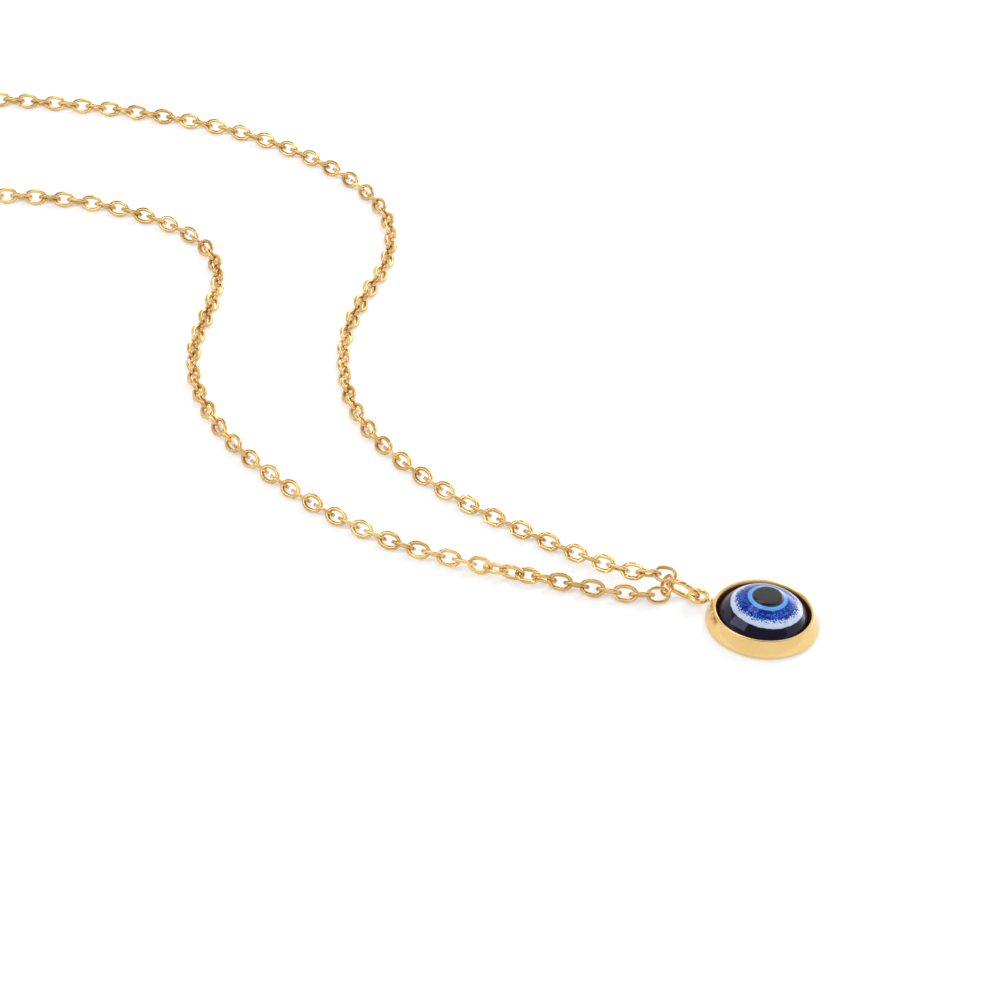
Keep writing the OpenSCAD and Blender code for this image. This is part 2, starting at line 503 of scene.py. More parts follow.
class Nodes(Tree):
    """A material's node tree, whose patterns are measured in millimetres on the piece."""

    def __init__(self, name: str) -> None:
        """Starts a material with a bare shader.

        Args:
            name: Name of the material.
        """
        self.material = bpy.data.materials.new(name)
        self.material.use_nodes = True
        super().__init__(self.material.node_tree, "Principled BSDF")
        self.where = self.add("ShaderNodeTexCoord").outputs["Object"]

    def noise(self, size: float, detail: float = 2.0, rough: float = 0.5) -> bpy.types.NodeSocket:
        """Adds a noise whose grains have a given size.

        Args:
            size: Size of a grain, in millimetres.
            detail: Number of finer layers.
            rough: Weight of the finer layers.

        Returns:
            The noise's value.
        """
        node = self.add(
            "ShaderNodeTexNoise",
            Vector=self.where,
            Scale=1 / (size * MM),
            Detail=detail,
            Roughness=rough,
        )
        return node.outputs[0]

    def radius(self, x: float = 0.0, y: float = 0.0) -> bpy.types.NodeSocket:
        """Measures the distance from an upright line.

        Args:
            x: Where the line stands, in millimetres.
            y: Where it stands across.

        Returns:
            The distance, in millimetres.
        """
        flat = self.add(
            "ShaderNodeMapping",
            Vector=self.where,
            Location=(-x, -y, 0),
            Scale=(1 / MM, 1 / MM, 0),
        )
        length = self.add("ShaderNodeVectorMath")
        length.operation = "LENGTH"
        self.put(length.inputs[0], flat.outputs[0])
        return length.outputs["Value"]

    def height(self) -> bpy.types.NodeSocket:
        """Gives the height above the table, in millimetres."""
        parts = self.add("ShaderNodeSeparateXYZ", Vector=self.where)
        return self.math("DIVIDE", parts.outputs["Z"], MM)

    def bump(self, height: object, depth: float) -> None:
        """Gives the shader a bump.

        Args:
            height: Output that holds the height.
            depth: Height of a full step, in millimetres.
        """
        node = self.add("ShaderNodeBump", Height=height, Distance=depth * MM, Strength=1.0)
        self.set(Normal=node.outputs[0])


@dataclass(frozen=True)
class GoldFinish:
    """Gold plate: its tone drifts a little, and fine polishing marks break up its gloss."""

    name: str
    colour: Colour
    deep: Colour
    rough: float
    grain: float
    marks: float
    metal: float

    def tone(self, nodes: Nodes) -> tuple[bpy.types.NodeSocket, object]:
        """Gives the colour and the share of metal.

        Args:
            nodes: The material's nodes.

        Returns:
            The colour, and the share as a value or an output.
        """
        drift = nodes.ramp(nodes.noise(2.4, 3.0), 0.3, 0.7)
        return nodes.mix(drift, self.deep, self.colour), self.metal

    def material(self) -> bpy.types.Material:
        """Makes the material.

        Returns:
            The material.
        """
        nodes = Nodes(self.name)
        colour, metal = self.tone(nodes)
        wear = nodes.noise(self.grain, 4.0, 0.6)
        nodes.set(
            Base_Color=colour,
            Metallic=metal,
            Roughness=nodes.ramp(wear, 0.25, 0.75, self.rough * 0.75, self.rough * 1.3),
        )
        nodes.bump(wear, self.marks)
        return nodes.material


@dataclass(frozen=True)
class CupGold(GoldFinish):
    """Gold plate of the cup, whose unpolished lining is dull, with shade painted dark on the lining
    beside the glass.
    """

    lining_r: float
    # height below which shade is painted on the lining, beside the glass
    painted_shade_below: float
    dull: Colour = (1.0, 0.66, 0.27, 1)
    # colour of the painted shade on the lining beside the glass
    dark: Colour = (0.12, 0.05, 0.02, 1)

    def tone(self, nodes: Nodes) -> tuple[bpy.types.NodeSocket, object]:
        """Gives the colour and the share of metal, both changed inside the lining's radius, where
        shade is painted dark on the lining's lower part.

        Args:
            nodes: The material's nodes.

        Returns:
            The colour, and the share as an output.
        """
        colour, metal = super().tone(nodes)
        outside = nodes.ramp(nodes.radius(), self.lining_r - 0.01, self.lining_r + 0.02)
        # painted shade: the lining turns dark below this height, beside the glass
        upper = nodes.ramp(nodes.height(), self.painted_shade_below - 0.12, self.painted_shade_below + 0.08)
        lining = nodes.mix(upper, self.dark, self.dull)
        return nodes.mix(outside, lining, colour), nodes.math("MULTIPLY", outside, metal)


@dataclass(frozen=True)
class EyeFinish:
    """The eye's glass: rings of colour round the pupil, the cobalt one strewn with grains."""

    name: str
    shift: tuple[float, float]
    pale_r: float
    cobalt_r: float
    white_r: float
    grain: float = 0.12
    navy: Colour = (0.0062, 0.0052, 0.0125, 1)
    white: Colour = (0.4, 0.48, 0.62, 1)
    milk: Colour = (0.5, 0.57, 0.7, 1)
    cobalt: Colour = (0.003, 0.04, 0.36, 1)
    violet: Colour = (0.008, 0.005, 0.17, 1)
    ink: Colour = (0.003, 0.001, 0.05, 1)
    azure: Colour = (0.012, 0.15, 0.62, 1)
    pale: Colour = (0.045, 0.25, 0.62, 1)
    light: Colour = (0.08, 0.33, 0.7, 1)

    def material(self) -> bpy.types.Material:
        """Makes the material.

        Returns:
            The material.
        """
        nodes = Nodes(self.name)
        radius = nodes.radius(*self.shift)
        sway = nodes.math("SUBTRACT", nodes.noise(1.1, 3.0), 0.5)
        wavy = nodes.math("ADD", radius, nodes.math("MULTIPLY", sway, 0.2))
        colour = nodes.mix(nodes.ramp(nodes.noise(0.8, 3.0), 0.3, 0.7), self.white, self.milk)
        colour = self.grains(nodes, colour, wavy)
        inner = nodes.ramp(radius, self.pale_r - 0.3, self.pale_r + 0.05)
        pale = nodes.mix(inner, self.light, self.pale)
        edge = nodes.ramp(wavy, self.pale_r - 0.05, self.pale_r + 0.03)
        colour = nodes.mix(edge, pale, colour)
        edge = nodes.ramp(wavy, self.white_r - 0.06, self.white_r + 0.04)
        colour = nodes.mix(edge, colour, self.navy)
        nodes.set(Base_Color=colour, Roughness=0.03, IOR=1.52, Specular_Tint=(0.46, 0.46, 0.78, 1))
        nodes.bump(nodes.noise(1.6), 0.006)
        return nodes.material

    def grains(
        self, nodes: Nodes, under: bpy.types.NodeSocket, radius: bpy.types.NodeSocket
    ) -> bpy.types.NodeSocket:
        """Lays the cobalt ring over the white one, grain by grain.

        Args:
            nodes: The material's nodes.
            under: Colour of the white ring.
            radius: Distance from the eye's middle.

        Returns:
            The colour of both rings.
        """
        cells = nodes.add("ShaderNodeTexVoronoi", Vector=nodes.where, Scale=1 / (self.grain * MM))
        chance = nodes.add("ShaderNodeSeparateColor", Color=cells.outputs["Color"])
        gone, dark, bright = chance.outputs
        start, end = self.pale_r, self.cobalt_r
        cloud = nodes.ramp(nodes.noise(1.5, 2.0), 0.35, 0.65, -0.25, 0.3)
        depth = nodes.math("ADD", radius, cloud)
        body = nodes.mix(nodes.ramp(depth, start + 0.05, start + 0.6), self.violet, self.cobalt)
        few = nodes.ramp(radius, start + 0.1, end, 0.08, 0.38)
        body = nodes.mix(nodes.math("LESS_THAN", bright, few), body, self.azure)
        few = nodes.ramp(radius, start + 0.1, end, 0.12, 0.5)
        body = nodes.mix(nodes.math("LESS_THAN", dark, few), body, self.ink)
        thinner = nodes.ramp(radius, end - 0.35, end + 0.5)
        ended = nodes.ramp(radius, end + 0.23, end + 0.3)
        share = nodes.math("MAXIMUM", thinner, ended)
        return nodes.mix(nodes.math("LESS_THAN", gone, share), body, under)


@dataclass(frozen=True)
class PupilFinish:
    """Glossy black glass with a trace of softer shine on its worn top."""

    name: str

    def material(self) -> bpy.types.Material:
        """Makes the material.

        Returns:
            The material.
        """
        nodes = Nodes(self.name)
        haze = nodes.noise(0.7, 3.0)
        nodes.set(
            Base_Color=(0.006, 0.006, 0.007, 1),
            Roughness=nodes.ramp(haze, 0.3, 0.7, 0.07, 0.13),
            IOR=1.52,
        )
        return nodes.material


@dataclass(frozen=True)
class FloorFinish:
    """Plain white table that glows a little, as a light table does."""

    name: str
    glow: float = 0.34

    def material(self) -> bpy.types.Material:
        """Makes the material.

        Returns:
            The material.
        """
        nodes = Nodes(self.name)
        nodes.set(
            Base_Color=(0.585, 0.6, 0.618, 1),
            Roughness=0.8,
            Specular_IOR_Level=0.2,
            Emission_Color=(1, 1, 1, 1),
            Emission_Strength=self.glow,
        )
        return nodes.material


# The pendant


@dataclass
class Setting:
    """Cup that holds the glass, with its rounded base edge, leaning wall and thin rim."""

    setting_d: float = 13.0
    setting_h: float = 2.15
    rim_d: float = 11.5
    rim_wall: float = 0.28
    rim_round: float = 0.16
    inner_round: float = 0.05
    base_edge: float = 0.45
    base_band: float = 0.63
    back_t: float = 0.5
    loop_d: float = 2.55
    loop_wire: float = 0.42
    loop_h: float = 0.55
    loop_z: float = 1.02
    loop_reach: float = 1.45
    loop_angle: float = 156.5

    @property
    def loop_mid(self) -> Vector:
        """Middle of the soldered loop.

        Returns:
            Its place, in millimetres.
        """
        turn = math.radians(self.loop_angle)
        reach = self.setting_d / 2 + self.loop_reach
        return Vector((reach * math.cos(turn), reach * math.sin(turn), self.loop_z))

    def profile(self) -> list[tuple[float, float]]:
        """Draws the cup's section, from the back's edge over the rim to the floor inside.

        Returns:
            Radius and height of each of its points.
        """
        base_r = self.setting_d / 2
        rim_r = self.rim_d / 2
        inner_r = rim_r - self.rim_wall
        top = self.setting_h
        edge = arc((base_r - self.base_edge, self.base_edge), self.base_edge, -90, 8, 8)
        wall = [(base_r - 0.03, self.base_band)]
        slope = math.degrees(math.atan2(base_r - rim_r, top - self.base_band))
        lip = arc((rim_r - 0.13, top - self.rim_round), self.rim_round, slope, 106, 9)
        inside = arc((inner_r + 0.03, top - 0.085), self.inner_round, 106, 180, 3)
        corner = [(inner_r - 0.02, self.back_t + 0.2), (inner_r - 0.22, self.back_t)]
        return edge + wall + lip + inside + corner

    def build(self) -> bpy.types.Object:
        """Makes the cup with its loop and the solder between them.

        Returns:
            The joined piece, in millimetres.
        """
        cup = turned("gold_cup", self.profile(), 160)
        return join([cup, self.loop(), self.neck()])

    def loop(self) -> bpy.types.Object:
        """Makes the soldered loop: a flat band bent round, with softened edges.

        Returns:
            The loop, in its place.
        """
        section = flat_section("setting_loop", self.loop_wire, self.loop_h, 0.12, 2)
        ring = spun_ring(section, (self.loop_d - self.loop_wire) / 2, 56)
        place(ring, Matrix.Translation(self.loop_mid))
        return ring

    def neck(self) -> bpy.types.Object:
        """Makes the solder, which flares from the loop's waist into the wall.

        Returns:
            The solder, in its place.
        """
        waist = 0.55
        start = self.setting_d / 2 - 0.55
        end = self.setting_d / 2 + self.loop_reach - (self.loop_d - self.loop_wire) / 2
        shares = (0.0, 0.2, 0.4, waist, 0.7, 0.85, 1.0)
        profile = [(0.27 + 0.9 * abs(k - waist) ** 2.4, k * (end - start)) for k in shares]
        solder = turned("setting_neck", profile, 20)
        lie = Matrix.Rotation(math.radians(90), 4, "Y") @ Matrix.Diagonal((0.8, 1.25, 1, 1))
        turn = Matrix.Rotation(math.radians(self.loop_angle), 4, "Z")
        place(solder, turn @ Matrix.Translation((start, 0, self.loop_z)) @ lie)
        return solder


@dataclass
class GlassEye:
    """The domed glass with its rings of colour, and the pupil that stands on it."""

    glass_d: float = 10.3
    floor_z: float = 0.53
    side_h: float = 1.1
    dome_h: float = 2.67
    pupil_d: float = 3.7
    pale_w: float = 0.45
    cobalt_w: float = 1.15
    white_w: float = 0.75
    pupil_rise: float = 0.05
    pupil_edge: float = 0.45
    eye_shift: tuple[float, float] = (0.25, 0.0)

    @property
    def dome_r(self) -> float:
        """Radius of the domed face."""
        return ((self.glass_d / 2) ** 2 + self.dome_h**2) / (2 * self.dome_h)

    @property
    def dome_top(self) -> float:
        """Height of the dome's top."""
        return self.floor_z + self.side_h + self.dome_h

    def dome(self) -> bpy.types.Object:
        """Makes the cabochon: a straight side, a softened edge and the domed face.

        Returns:
            The glass, in millimetres.
        """
        centre = (0.0, self.dome_top - self.dome_r)
        side_r = self.glass_d / 2
        start = math.degrees(math.asin((self.floor_z + self.side_h - centre[1]) / self.dome_r))
        foot = [(side_r - 0.25, self.floor_z), (side_r, self.floor_z + 0.25)]
        shoulder = [(side_r, self.floor_z + self.side_h - 0.14)]
        face = arc(centre, self.dome_r, start + 1.2, 89.6, 44)
        return turned("glass_dome", foot + shoulder + face, 128)

    def pupil(self) -> bpy.types.Object:
        """Makes the pupil: a button with a rounded edge and a slightly crowned top.

        Returns:
            The button, sunk into the dome.
        """
        radius = self.pupil_d / 2
        top = self.dome_top + self.pupil_rise
        middle = (radius - self.pupil_edge, top - self.pupil_edge - 0.015)
        edge = arc(middle, self.pupil_edge, 0, 86, 12)
        crown = [(radius * 0.5, top - 0.004), (radius * 0.25, top - 0.001), (0.05, top)]
        sunk = self.floor_z + self.side_h + 1.2
        foot = [(radius - 0.1, sunk), (radius, sunk + 0.1)]
        piece = turned("pupil_button", foot + edge + crown, 96)
        place(piece, Matrix.Translation((*self.eye_shift, 0)))
        return piece

    def finish(self) -> EyeFinish:
        """Gives the dome's finish, whose rings follow the sizes of the glass.

        Returns:
            The finish.
        """
        pale_r = self.pupil_d / 2 + self.pale_w
        cobalt_r = pale_r + self.cobalt_w
        white_r = cobalt_r + self.white_w - 0.06
        return EyeFinish("eye_glass", self.eye_shift, pale_r, cobalt_r, white_r)


@dataclass
class JumpRing:
    """Round wire ring whose cut ends meet with a small step."""

    outer_d: float = 4.3
    wire: float = 0.6
    middle: Point = (-1.85, -0.12, 0.845)
    lean: float = 57.0
    turn: float = 156.0
    cut_at: float = 110.0
    cut_gap: float = 0.035
    cut_step: float = 0.09

    def build(self, loop_mid: Vector) -> bpy.types.Object:
        """Makes the ring by spinning its wire's section almost all the way round.

        Args:
            loop_mid: Middle of the soldered loop, from which the ring's place is given.

        Returns:
            The ring, in millimetres.
        """
        radius = (self.outer_d - self.wire) / 2
        gap = self.cut_gap / radius
        deselect()
        bpy.ops.mesh.primitive_circle_add(vertices=16, radius=self.wire / 2, fill_type="NGON")
        ring = bpy.context.object
        ring.name = "jump_ring_wire"
        upright = Matrix.Rotation(math.radians(90), 4, "X")
        place(ring, Matrix.Translation((radius, 0, 0)) @ upright)
        edit(ring)
        bpy.ops.mesh.spin(
            steps=64, angle=2 * math.pi - gap, center=(0, 0, 0), axis=(0, 0, -1), dupli=False
        )
        bpy.ops.transform.translate(
            value=(0, 0, self.cut_step),
            use_proportional_edit=True,
            use_proportional_connected=True,
            proportional_edit_falloff="SMOOTH",
            proportional_size=2 * self.outer_d,
        )
        close_edit(ring)
        start = Matrix.Rotation(math.radians(self.cut_at) + gap / 2, 4, "Z")
        lean = Matrix.Rotation(math.radians(self.lean), 4, "X")
        turn = Matrix.Rotation(math.radians(self.turn), 4, "Z")
        place(ring, Matrix.Translation(loop_mid + Vector(self.middle)) @ turn @ lean @ start)
        return ring


# The chain


@dataclass(frozen=True)
class LinkSize:
    """Sizes of an oval link: its length and width, and its wire's face and thickness."""

    length: float
    width: float
    face: float
    thick: float


@dataclass(frozen=True)
class ClaspSize:
    """Sizes of the clasp, its eye and the end ring, and how they lie on the table."""

    ring_d: float = 6.0
    ring_wire: float = 1.1
    eye_d: float = 2.6
    eye_wire: float = 0.5
    end_d: float = 4.0
    end_wire: float = 0.6
    nub_len: float = 1.1
    nub_d: float = 0.7
    nub_turn: float = 60.0
    roll: float = -25.0
    end_roll: float = 50.0

    @property
    def ring_mid(self) -> float:
        """Distance of the ring's middle from the clasp's middle."""
        return (self.eye_d - 2 * self.eye_wire + self.ring_wire) / 2

    @property
    def eye_mid(self) -> float:
        """Distance of the eye's middle from the clasp's middle."""
        return (self.ring_d - 2 * self.ring_wire + self.ring_wire) / 2

    @property
    def span(self) -> float:
        """Length of chain that the clasp stands for, from opening to opening."""
        inside = self.ring_d - 2 * self.ring_wire
        return inside + self.ring_wire + (self.eye_d - 2 * self.eye_wire) - LINK_GAP

    @property
    def end_span(self) -> float:
        """Length of chain that the end ring stands for."""
        return self.end_d - 2 * self.end_wire - LINK_GAP

    @property
    def half_height(self) -> float:
        """Height of the clasp's or the end ring's middle on the table, whichever is higher.

        Returns:
            The height, in millimetres.
        """
        rings = (
            (self.ring_d, self.ring_wire, self.roll),
            (self.end_d, self.end_wire, self.end_roll),
        )
        return max(
            ((outer - wire) * math.sin(math.radians(abs(roll))) + wire) / 2
            for outer, wire, roll in rings
        )


# A link as the solids have it, as it is seen, and slimmer at the crowded jump ring
LAID_LINK = LinkSize(2.89, 2.05, 0.38, 0.34)
SEEN_LINK = LinkSize(3.05, 2.14, 0.49, 0.38)
HOOK_LINK = LinkSize(2.89, 2.05, 0.4, 0.34)
LINK_GAP = 0.22
LINK_ROLL = 45.0


@dataclass
class ChainLine:
    """The line on which the chain lies, and the places of clasp and links along it."""

    loop_mid: Vector
    clasp: ClaspSize = ClaspSize()
    hooks: Sequence[tuple[Point, float, float, float]] = HOOK_LINKS
    points: Sequence[Point] = CHAIN_ROUTE
    lift_run: float = 18.0
    steps: int = 12
    line: list[Vector] = field(default_factory=list)
    run: list[float] = field(default_factory=list)

    def __post_init__(self) -> None:
        """Lays the smooth curve through the route's points and measures it."""
        lie = Vector((self.loop_mid.x, self.loop_mid.y, self.rest_z))
        route = [self.hook_end(1), *(lie + Vector(p) for p in self.points), self.hook_end(2)]
        knots = [2 * route[0] - route[1], *route, 2 * route[-1] - route[-2]]
        for a, b, c, d in zip(knots, knots[1:], knots[2:], knots[3:]):
            for step in range(self.steps):
                t = step / self.steps
                first = (c - a) * t / 2
                second = (2 * a - 5 * b + 4 * c - d) * t * t / 2
                third = (3 * b - a - 3 * c + d) * t**3 / 2
                self.line.append(b + first + second + third)
        self.line.append(route[-1])
        self.run.append(0.0)
        for before, after in zip(self.line, self.line[1:]):
            self.run.append(self.run[-1] + (after - before).length)

    @property
    def rest_z(self) -> float:
        """Height of the links' middles where they lie on the table."""
        roll = math.radians(LINK_ROLL)
        return (LAID_LINK.width * math.sin(roll) + LAID_LINK.thick * math.cos(roll)) / 2 + 0.01

    @property
    def pitch(self) -> float:
        """Distance from link to link."""
        return LAID_LINK.length - 2 * LAID_LINK.face - LINK_GAP

    @property
    def lift_top(self) -> float:
        """Lift of the line at the clasp, whose rings are thicker than the links."""
        return 1.15 * (self.clasp.half_height - self.rest_z)

    @property
    def length(self) -> float:
        """Whole length of the line."""
        return self.run[-1]

    @property
    def strand(self) -> float:
        """Length of one strand, from the pendant to the clasp or the end ring."""
        return (self.length - self.clasp.span - self.clasp.end_span) / 2

    def hook_matrix(self, index: int) -> Matrix:
        """Gives the place of one of the three links at the jump ring."""
        middle, turn, rise, roll = self.hooks[index]
        return Matrix.Translation(self.loop_mid + Vector(middle)) @ heading(turn, rise, roll)

    def hook_end(self, index: int) -> Vector:
        """Gives the place where the next link hooks into one of those links."""
        return self.hook_matrix(index) @ Vector((self.pitch / 2, 0, 0))

    def along(self, length: float) -> Vector:
        """Gives the place on the line at a running length.

        Args:
            length: Length from the line's start.

        Returns:
            The place, lifted where the clasp lies.
        """
        length = min(max(length, 0.0), self.length)
        index = min(max(bisect.bisect_right(self.run, length), 1), len(self.run) - 1)
        share = (length - self.run[index - 1]) / (self.run[index] - self.run[index - 1])
        spot = self.line[index - 1].lerp(self.line[index], share)
        far = min(1.0, abs(length - self.length / 2) / self.lift_run)
        return spot + Vector((0, 0, self.lift_top * (1 - far * far) ** 2))

    def between(self, start: float, end: float, roll: float) -> Matrix:
        """Gives the place of a piece that spans two running lengths.

        Args:
            start: Running length at the piece's start.
            end: Running length at its end.
            roll: Its roll about its own length, in degrees.

        Returns:
            The place of the piece's middle, with its X along the line.
        """
        low, high = self.along(start), self.along(end)
        way = high - low
        turn = math.degrees(math.atan2(way.y, way.x))
        rise = math.degrees(math.asin(way.z / way.length))
        return Matrix.Translation((low + high) / 2) @ heading(turn, rise, roll)


@dataclass
class Chain:
    """Cable chain of oval links in flat wire, each turned against the one before it.

    The links near the pendant, which are seen from close by, have rounder ends.
    """

    line: ChainLine
    fine_links: int = 14
    edge: float = 0.065
    taper: float = 0.987

    def link(self, name: str, size: LinkSize, edge: float, steps: int) -> bpy.types.Object:
        """Makes one link by carrying its wire's section round the oval.

        Args:
            name: Name of the object.
            size: Its sizes.
            edge: Width of the softened edges.
            steps: Steps in each round end.

        Returns:
            The link, lying flat with its length along X.
        """
        side = (size.width - size.face) / 2
        straight = size.length - size.width
        sides = 2
        piece = flat_section(name, size.face, size.thick, edge, 1)
        turn = Matrix.Rotation(math.radians(-90), 4, "Z")
        place(piece, Matrix.Translation((straight / 2, -side, 0)) @ turn)
        edit(piece)
        for way in (1, -1):
            bpy.ops.mesh.spin(
                steps=steps,
                angle=math.pi,
                center=(way * straight / 2, 0, 0),
                axis=(0, 0, -1),
                dupli=False,
            )
            for _ in range(sides):
                bpy.ops.mesh.extrude_region_move(
                    TRANSFORM_OT_translate={"value": (-way * straight / sides, 0, 0)}
                )
        for tenths in range(1, 13):
            choose(piece, lambda co, reach=tenths / 10: abs(co.x) > reach)
            bpy.ops.transform.resize(value=(1, self.taper, 1), center_override=(0, 0, 0))
        close_edit(piece, 0.001)
        return piece

    def strand(
        self,
        name: str,
        hooks: Sequence[int],
        way: int,
        count: int,
        twists: Sequence[tuple[float, float]],
    ) -> bpy.types.Object:
        """Copies the link along one side of the chain, from the pendant on.

        Args:
            name: Name of the finished piece.
            hooks: The listed links that belong to it.
            way: 1 along the line, -1 against it.
            count: Number of links after the listed ones.
            twists: Link numbers and turns about the line, in degrees.

        Returns:
            All of its links as one piece, in millimetres.
        """
        start = 0 if way > 0 else self.line.length
        step = way * self.line.strand / count
        places = [self.line.hook_matrix(index) for index in hooks]
        for index in range(count):
            roll = LINK_ROLL if index % 2 == 0 else -LINK_ROLL
            turn = roll + table(index + 2, twists)
            low = start + index * step
            places.append(self.line.between(low, low + step, turn))
        hook = self.link("hook_link", HOOK_LINK, 0.06, 9)
        fine = self.link("fine_link", SEEN_LINK, self.edge, 9)
        plain = self.link("plain_link", SEEN_LINK, self.edge, 5)
        first, shown = len(hooks), len(hooks) + self.fine_links
        links = copies(hook, places[:first]) + copies(fine, places[first:shown])
        links += copies(plain, places[shown:])
        for master in (hook, fine, plain):
            bpy.data.meshes.remove(master.data)
        piece = join(links)
        bpy.ops.object.transform_apply(location=True, rotation=True, scale=True)
        piece.name = name
        return piece

    def far(self) -> bpy.types.Object:
        """Makes the middle link and the strand that runs on from it to the clasp."""
        count = 2 * math.ceil((self.line.strand / self.line.pitch - 1) / 2) + 1
        return self.strand("far_strand", (0, 1), 1, count, FAR_TWIST)

    def near(self) -> bpy.types.Object:
        """Makes the strand that ends at the end ring."""
        count = 2 * math.ceil(self.line.strand / self.line.pitch / 2)
        return self.strand("near_strand", (2,), -1, count, NEAR_TWIST)


@dataclass
class Clasp:
    """Spring ring clasp with its soldered eye, and the plain ring that it closes on."""

    line: ChainLine

    def clasp(self) -> bpy.types.Object:
        """Makes the clasp: its tube, the soldered eye and the nub.

        Returns:
            The joined piece, in millimetres.
        """
        size = self.line.clasp
        ring = wire_ring("clasp_ring", size.ring_d, size.ring_wire, 16, 64)
        middle = Matrix.Translation((size.ring_mid, 0, 0))
        place(ring, middle)
        eye = wire_ring("clasp_eye", size.eye_d, size.eye_wire, 12, 40)
        place(eye, Matrix.Translation((-size.eye_mid, 0, 0)))
        piece = join([ring, eye, self.nub(middle)])
        start = self.line.strand
        where = self.line.between(start, start + size.span, size.roll)
        place(piece, where @ Matrix.Translation((-LINK_GAP / 4, 0, 0)))
        return piece

    def nub(self, middle: Matrix) -> bpy.types.Object:
        """Makes the nub, with the head that a nail catches.

        Args:
            middle: Place of the ring's middle.

        Returns:
            The nub, standing out from the ring.
        """
        size = self.line.clasp
        head = size.nub_d / 2
        reach = size.nub_len
        stem = head * 0.8
        profile = [(stem, 0), (stem, reach * 0.6)]
        profile += [(head, reach * 0.66), (head, reach * 0.9), (stem, reach)]
        nub = turned("clasp_nub", profile, 20)
        out = Matrix.Rotation(math.radians(size.nub_turn), 4, "Z")
        tube = Matrix.Translation(((size.ring_d - size.ring_wire) / 2, 0, 0))
        place(nub, middle @ out @ tube @ Matrix.Rotation(math.radians(90), 4, "Y"))
        return nub

    def end_ring(self) -> bpy.types.Object:
        """Makes the ring at the other end of the chain.

        Returns:
            The ring, in millimetres.
        """
        size = self.line.clasp
        ring = wire_ring("end_ring_wire", size.end_d, size.end_wire, 14, 56)
        start = self.line.strand + size.span
        place(ring, self.line.between(start, start + size.end_span, size.end_roll))
        return ring


# Studio


@dataclass(frozen=True)
class SoftBox:
    """Soft box that faces the pendant.

    Its azimuth is 0 towards the camera and 90 to the right, and its rise is counted from the
    table, both in degrees. Its radiance is the brightness of its face, and a box that isn't
    glossy isn't mirrored by the metal and the glass.
    """

    name: str
    azimuth: float
    rise: float
    distance: float
    size: tuple[float, float]
    radiance: float
    roll: float = 0.0
    glossy: bool = True

    def add(self, only: Sequence[bpy.types.Object] = ()) -> None:
        """Adds the light.

        Args:
            only: The pieces that it lights, where it doesn't light everything.
        """
        data = bpy.data.lights.new(self.name, "AREA")
        data.shape = "RECTANGLE"
        data.size, data.size_y = self.size
        data.energy = self.radiance * math.pi * self.size[0] * self.size[1]
        box = bpy.data.objects.new(self.name, data)
        bpy.context.scene.collection.objects.link(box)
        turn, lift = math.radians(self.azimuth), math.radians(self.rise)
        level = math.cos(lift)
        way = Vector((math.sin(turn) * level, -math.cos(turn) * level, math.sin(lift)))
        aim = way.to_track_quat("Z", "Y").to_matrix().to_4x4()
        spin = Matrix.Rotation(math.radians(self.roll), 4, "Z")
        box.matrix_world = Matrix.Translation(way * self.distance) @ aim @ spin
        box.visible_glossy = self.glossy
        if only:
            lit = bpy.data.collections.new(self.name + "_lights")
            for piece in only:
                lit.objects.link(piece)
            box.light_linking.receiver_collection = lit


@dataclass
class Studio:
    """White table, soft lights and the camera at the photograph's angle."""

    chain: Sequence[bpy.types.Object]
    pitch: float = 36.0
    roll: float = 4.146
    lens: float = 121.66
    eye: Point = (-30.58, -302.375, 234.455)
    boxes: Sequence[SoftBox] = (
        SoftBox("left_softbox", -80, 41, 0.5, (0.34, 0.145), 2.7, roll=27),
        SoftBox("upper_softbox", -138, 69, 0.5, (0.19, 0.17), 2.8),
        SoftBox("back_key", 150, 33, 0.9, (0.3, 0.3), 10.0, glossy=False),
        SoftBox("front_fill", 0, 55, 1.2, (1.0, 0.7), 2.3, glossy=False),
    )
    chain_box: SoftBox = SoftBox("chain_softbox", -12, 54, 0.5, (0.5, 0.36), 0.85)

    def floor(self) -> None:
        """Lays the white surface, whose far edge is out of sight."""
        deselect()
        bpy.ops.mesh.primitive_plane_add(size=6, location=(0, 0, -0.00001))
        plane = bpy.context.object
        plane.name = "table_top"
        edit(plane)
        bpy.ops.mesh.subdivide(number_cuts=3)
        close_edit(plane)
        bpy.ops.object.transform_apply(location=True, rotation=False, scale=False)
        plane.data.materials.append(FloorFinish("white_table").material())

    def camera(self) -> None:
        """Adds the camera."""
        lens = bpy.data.cameras.new("photo_camera")
        lens.lens = self.lens
        lens.sensor_width = 36
        lens.clip_start = 0.01
        holder = bpy.data.objects.new("photo_camera", lens)
        bpy.context.scene.collection.objects.link(holder)
        tilt = Matrix.Rotation(math.radians(90 - self.pitch), 4, "X")
        turn = Matrix.Rotation(math.radians(self.roll), 4, "Z")
        holder.matrix_world = Matrix.Translation(Vector(self.eye) * MM) @ tilt @ turn
        bpy.context.scene.camera = holder

    def room(self) -> None:
        """Makes the room: pale all round, with a darker ceiling over the camera's side."""
        world = bpy.data.worlds.new("studio_room")
        bpy.context.scene.world = world
        world.use_nodes = True
        RoomNodes(world.node_tree, "Background").fill()

    def build(self) -> None:
        """Sets up the whole studio, with the picture's tones left as they are lit."""
        self.floor()
        self.camera()
        self.room()
        for box in self.boxes:
            box.add()
        self.chain_box.add(self.chain)
        scene = bpy.context.scene
        scene.view_settings.view_transform = "Standard"
        scene.view_settings.look = "None"
        scene.view_settings.exposure = 0
        scene.view_settings.gamma = 1


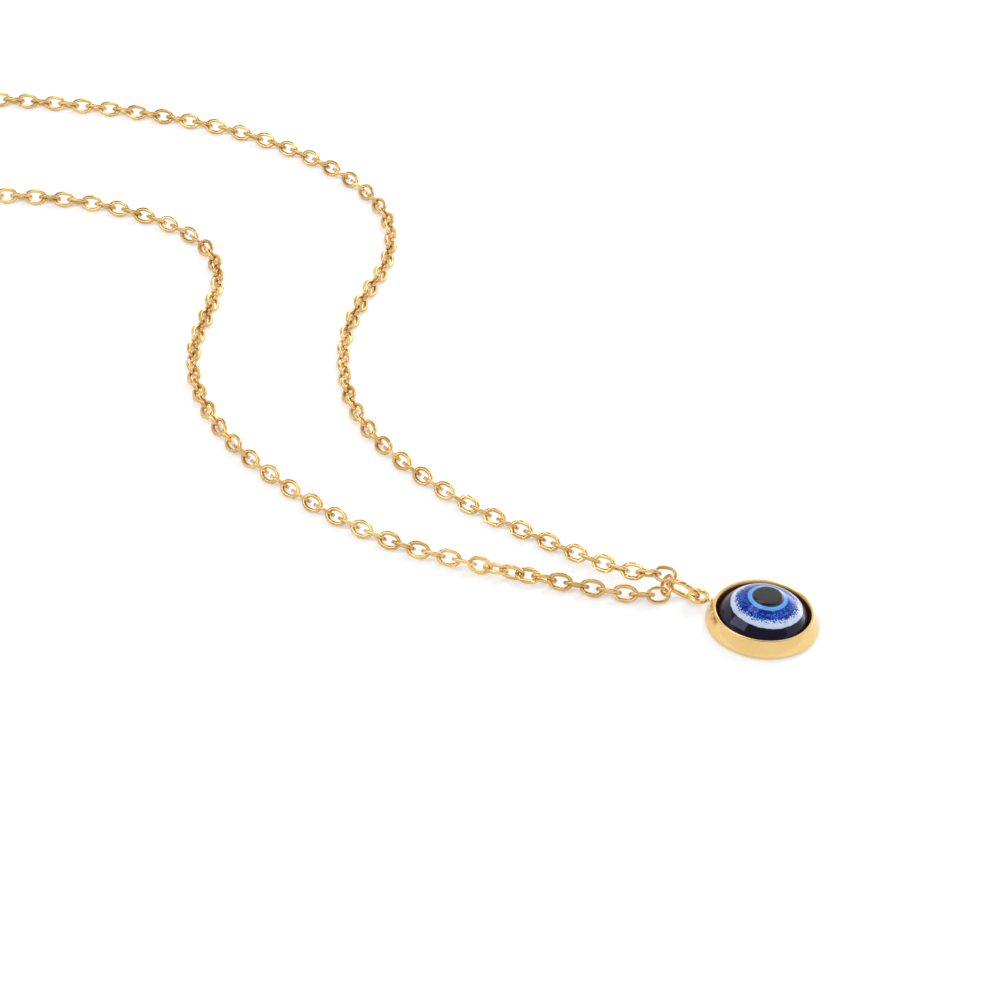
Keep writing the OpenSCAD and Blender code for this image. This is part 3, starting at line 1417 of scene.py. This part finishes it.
class RoomNodes(Tree):
    """Node tree of the studio's room, whose light depends on the direction alone.

    Every pair of angles, in degrees, is where a part of the room begins and where it is full.
    """

    walls: Colour = (1.0, 1.0, 1.0, 1)
    shade: Colour = (0.3, 0.3, 0.31, 1)
    lamp: Colour = (4.0, 4.0, 4.0, 1)
    shade_rise = (27, 33)
    shade_sides = ((-150, -125), (72, 68))
    shade_top = (79, 84)
    lamp_rise = (26, 6)
    lamp_sides = ((105, 140), (182, 172))

    def within(self, angle: bpy.types.NodeSocket, ends: tuple[float, float]) -> bpy.types.NodeSocket:
        """Maps an angle smoothly onto 0 at the first end and 1 at the second."""
        return self.ramp(angle, math.radians(ends[0]), math.radians(ends[1]))

    def fill(self) -> None:
        """Colours the walls, the shade over the camera and the lit part behind the pendant."""
        where = self.add("ShaderNodeTexCoord").outputs["Generated"]
        x, y, z = self.add("ShaderNodeSeparateXYZ", Vector=where).outputs
        azimuth = self.math("ARCTAN2", x, self.math("MULTIPLY", y, -1.0))
        height = self.math("ARCSINE", z, 0.0)
        shade = self.within(height, self.shade_rise)
        for ends in self.shade_sides:
            shade = self.math("MULTIPLY", shade, self.within(azimuth, ends))
        shade = self.math("MAXIMUM", shade, self.within(height, self.shade_top))
        lamp = self.within(height, self.lamp_rise)
        for ends in self.lamp_sides:
            lamp = self.math("MULTIPLY", lamp, self.within(azimuth, ends))
        lit = self.mix(lamp, self.walls, self.lamp)
        self.set(Color=self.mix(shade, lit, self.shade))


# The whole scene


def main() -> None:
    """Builds the pendant, its chain and the studio."""
    logging.basicConfig(level=logging.INFO, format="%(name)s: %(message)s")
    cup_gold = CupGold(
        "polished_gold",
        colour=(0.84, 0.585, 0.245, 1),
        deep=(0.8, 0.545, 0.215, 1),
        rough=0.12,
        grain=0.12,
        marks=0.001,
        metal=0.9,
        lining_r=5.48,
        painted_shade_below=1.85,
    ).material()
    ring_gold = GoldFinish(
        "ring_gold",
        colour=(0.82, 0.56, 0.23, 1),
        deep=(0.74, 0.46, 0.155, 1),
        rough=0.13,
        grain=0.15,
        marks=0.0008,
        metal=0.9,
    ).material()
    chain_gold = GoldFinish(
        "satin_gold",
        colour=(0.86, 0.6, 0.26, 1),
        deep=(0.6, 0.36, 0.105, 1),
        rough=0.15,
        grain=0.15,
        marks=0.0007,
        metal=0.95,
    ).material()

    setting = Setting()
    finish_piece(setting.build(), cup_gold, ["setting"])

    eye = GlassEye()
    glass = ["glass_base", "white_ring", "cobalt_ring", "pale_ring"]
    finish_piece(eye.dome(), eye.finish().material(), glass)
    finish_piece(eye.pupil(), PupilFinish("black_pupil_glass").material(), ["pupil"])

    ring = JumpRing().build(setting.loop_mid)
    finish_piece(ring, ring_gold, ["jump_ring"])

    line = ChainLine(setting.loop_mid)
    chain = Chain(line)
    far, near = chain.far(), chain.near()
    finish_piece(far, chain_gold, ["far_chain"], smooth=50)
    finish_piece(near, chain_gold, ["near_chain"], smooth=50)

    closing = Clasp(line)
    finish_piece(closing.clasp(), ring_gold, ["clasp"])
    finish_piece(closing.end_ring(), ring_gold, ["end_ring"])

    Studio([far, near]).build()


if __name__ == "__main__":
    main()
